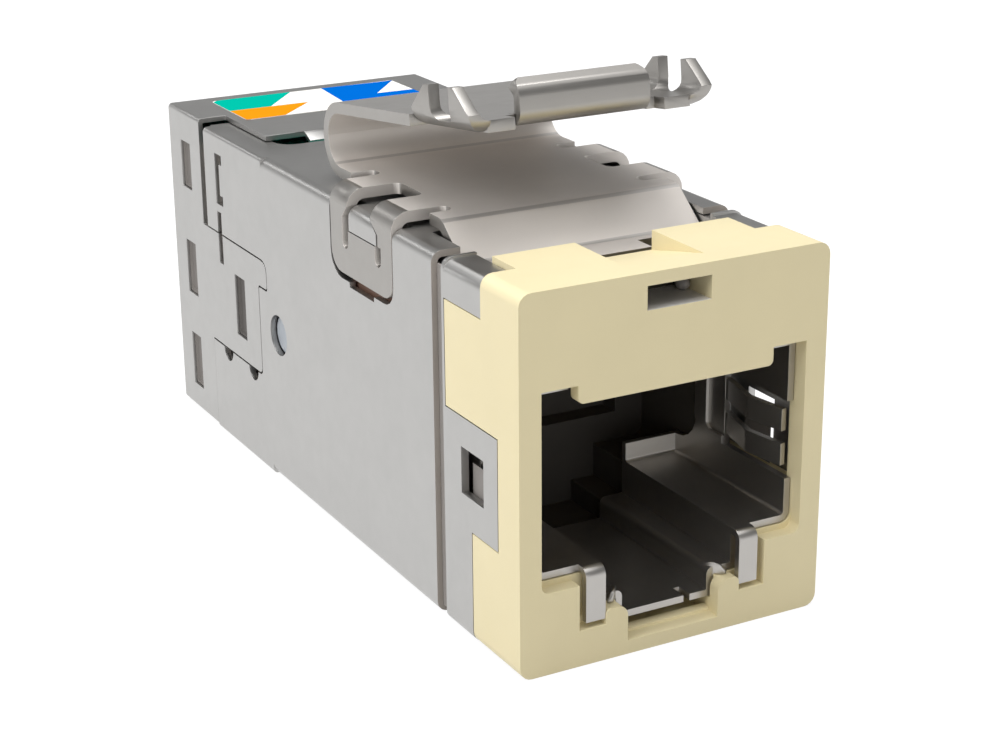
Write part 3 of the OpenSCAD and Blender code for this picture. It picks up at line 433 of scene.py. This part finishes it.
def groove_bead():
    """Bright rolled edge of the sleeve in the groove behind the frame, and the groove's floor in a flat grey
    that paints the light the groove shuts out.
    """
    lo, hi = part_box("main_shell")
    half, low, high = hi.x / MM, 0.35, 15.6
    inner = half - 0.34
    bead = [(inner, 6.42), (half - 0.1, 6.42), (half - 0.08, 6.55), (half - 0.14, 6.66), (inner, 6.68)]
    floor = [(inner, 6.7), (half - 0.25, 6.7), (half - 0.25, 7.22), (inner, 7.22)]
    for name, outline, mat in (("groove_bead", bead, liner), ("groove_floor", floor, painted_light_grey)):
        bm = bmesh.new()
        for side in (-1, 1):
            rings(bm, [[(side * x, y, z) for x, y in outline] for z in (low, high)])
        add(name, bm, mat, home["front_shield"], 0.02)


def keyway_lips():
    """Lead-in lips of the liner, curled out over the frame on both sides of the keyway."""
    # Each station of the curl: place behind the face, half width, lower and upper edge
    path = [(1.75, 2.16, 1.4, 2.25), (1.4, 2.14, 1.4, 2.5), (1.1, 2.18, 1.4, 2.66), (0.85, 2.28, 2.0, 2.76),
            (0.65, 2.42, 2.28, 2.78), (0.48, 2.6, 2.28, 2.7), (0.38, 2.8, 2.28, 2.42)]
    thick, lean, round_off = 0.13, 0.08, 0.02
    bm = bmesh.new()
    for side in (-1, 1):
        loops = []
        for y, x, low, high in path:
            near, far, y1 = side * x, side * (x + thick), y + lean
            loops.append([(near, y, low), (near, y, high), (far, y1, high - round_off), (far, y1, low)])
        rings(bm, loops)
    add("keyway_lips", bm, liner, home["port_liner"], 0.03)


def pocket_floor():
    """Plate seen through the notch under each side clip, its brown painting the shade inside."""
    lo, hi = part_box("main_shell")
    half = hi.x / MM
    bm = bmesh.new()
    for side in (-1, 1):
        rings(bm, [upright(side * x, 11.8, 15.9, 12.1, 13.0) for x in (half - 0.42, half - 0.5)])
    add("pocket_floor", bm, pocket_painted_shade, home["main_shell"], 0.02)


def window_dimple():
    """Round metal dimple at the back of the small window, in a flat grey that paints the light on it."""
    x0, z0, back, r, bulge, tip = 1.14, 15.0, 1.7, 0.3, 0.5, 0.01
    bm = bmesh.new()
    loops = []
    for k in range(6):
        a = math.radians(90 * k / 5)
        ring_r, y = r * math.cos(a) + tip, back - bulge * math.sin(a)
        loops.append([(x0 + ring_r * math.cos(t), y, z0 + ring_r * math.sin(t))
                      for t in (math.radians(30 * i) for i in range(12))])
    rings(bm, loops)
    add("window_dimple", bm, painted_light_grey, home["bezel"])


def flag_pans():
    """Plates of the sleeve behind the windows in the side flags, in a flat grey that paints the light in the
    recess.
    """
    lo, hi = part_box("front_shield")
    half = hi.x / MM
    bm = bmesh.new()
    for side in (-1, 1):
        rings(bm, [upright(side * (half - 0.42), 3.05, 4.2, 5.3, 7.5),
                   upright(side * (half - 0.52), 2.9, 4.85, 4.9, 7.7)])
    add("flag_pans", bm, painted_light_grey, home["front_shield"], 0.03)


louvre_pans()
flag_pans()
groove_bead()
keyway_lips()
pocket_floor()
window_dimple()


# Floor, backdrop and lights

def make_stage():
    m = Mat("studio_floor")
    m.set(Base_Color=(0.56, 0.56, 0.56, 1), Roughness=0.9)
    tree = m.tree
    # Seen directly or in a reflection the floor is white, with the object's soft shadow on it
    path = tree.nodes.new("ShaderNodeLightPath")
    seen = tree.nodes.new("ShaderNodeMath")
    seen.operation = "MAXIMUM"
    either = tree.nodes.new("ShaderNodeMath")
    either.operation = "MAXIMUM"
    glow = tree.nodes.new("ShaderNodeEmission")
    glow.inputs["Color"].default_value = (1, 1, 1, 1)
    glow.inputs["Strength"].default_value = 0.86
    veil = tree.nodes.new("ShaderNodeBsdfDiffuse")
    veil.inputs["Color"].default_value = (0.22, 0.22, 0.22, 1)
    both = tree.nodes.new("ShaderNodeAddShader")
    pick = tree.nodes.new("ShaderNodeMixShader")
    m.link(path.outputs["Is Camera Ray"], either.inputs[0])
    m.link(path.outputs["Is Glossy Ray"], either.inputs[1])
    m.link(either.outputs[0], seen.inputs[0])
    m.link(path.outputs["Is Transmission Ray"], seen.inputs[1])
    m.link(glow.outputs[0], both.inputs[0])
    m.link(veil.outputs[0], both.inputs[1])
    m.link(seen.outputs[0], pick.inputs[0])
    m.link(m.shader.outputs[0], pick.inputs[1])
    m.link(both.outputs[0], pick.inputs[2])
    m.link(pick.outputs[0], tree.nodes["Material Output"].inputs["Surface"])
    bpy.ops.mesh.primitive_plane_add(size=1.2, location=(0, 0, 0))
    floor = bpy.context.object
    floor.name = "studio_floor"
    floor.location.z = min(0.0, cad_box[0].z) - 0.02 * MM
    floor.data.materials.append(m.mat)


def make_world():
    world = bpy.data.worlds.new("studio")
    scene.world = world
    world.use_nodes = True
    t = world.node_tree
    bg = t.nodes["Background"]
    coord = t.nodes.new("ShaderNodeTexCoord")
    split = t.nodes.new("ShaderNodeSeparateXYZ")
    ramp = t.nodes.new("ShaderNodeValToRGB")
    t.links.new(coord.outputs["Generated"], split.inputs[0])
    t.links.new(split.outputs["Z"], ramp.inputs[0])
    e = ramp.color_ramp.elements
    e[0].position, e[0].color = 0.0, (0.5, 0.5, 0.5, 1)
    e[1].position, e[1].color = 1.0, (1, 1, 1, 1)
    for pos, v in ((0.1, 0.45), (0.22, 0.12), (0.72, 0.12), (0.86, 0.8)):
        s = e.new(pos)
        s.color = (v, v, v, 1)
    t.links.new(ramp.outputs[0], bg.inputs["Color"])
    bg.inputs["Strength"].default_value = 1.9


def area(name, place, aim, size, watts):
    """A soft rectangular lamp turned towards a point."""
    data = bpy.data.lights.new(name, "AREA")
    data.shape = "RECTANGLE"
    data.size, data.size_y = size
    data.energy = watts
    light = bpy.data.objects.new(name, data)
    scene.collection.objects.link(light)
    light.location = place
    light.rotation_euler = (Vector(aim) - Vector(place)).to_track_quat("-Z", "Y").to_euler()


make_stage()
make_world()
middle = (0, 0.018, 0.008)
area("key", (-0.2, -0.01, 0.17), middle, (0.16, 0.16), 0.34)
area("top", (0, 0.04, 0.3), middle, (0.14, 0.14), 0.3)
area("rim", (-0.13, 0.35, 0.18), middle, (0.1, 0.06), 0.07)
area("front", (-0.05, -0.3, 0.07), middle, (0.2, 0.1), 0.07)
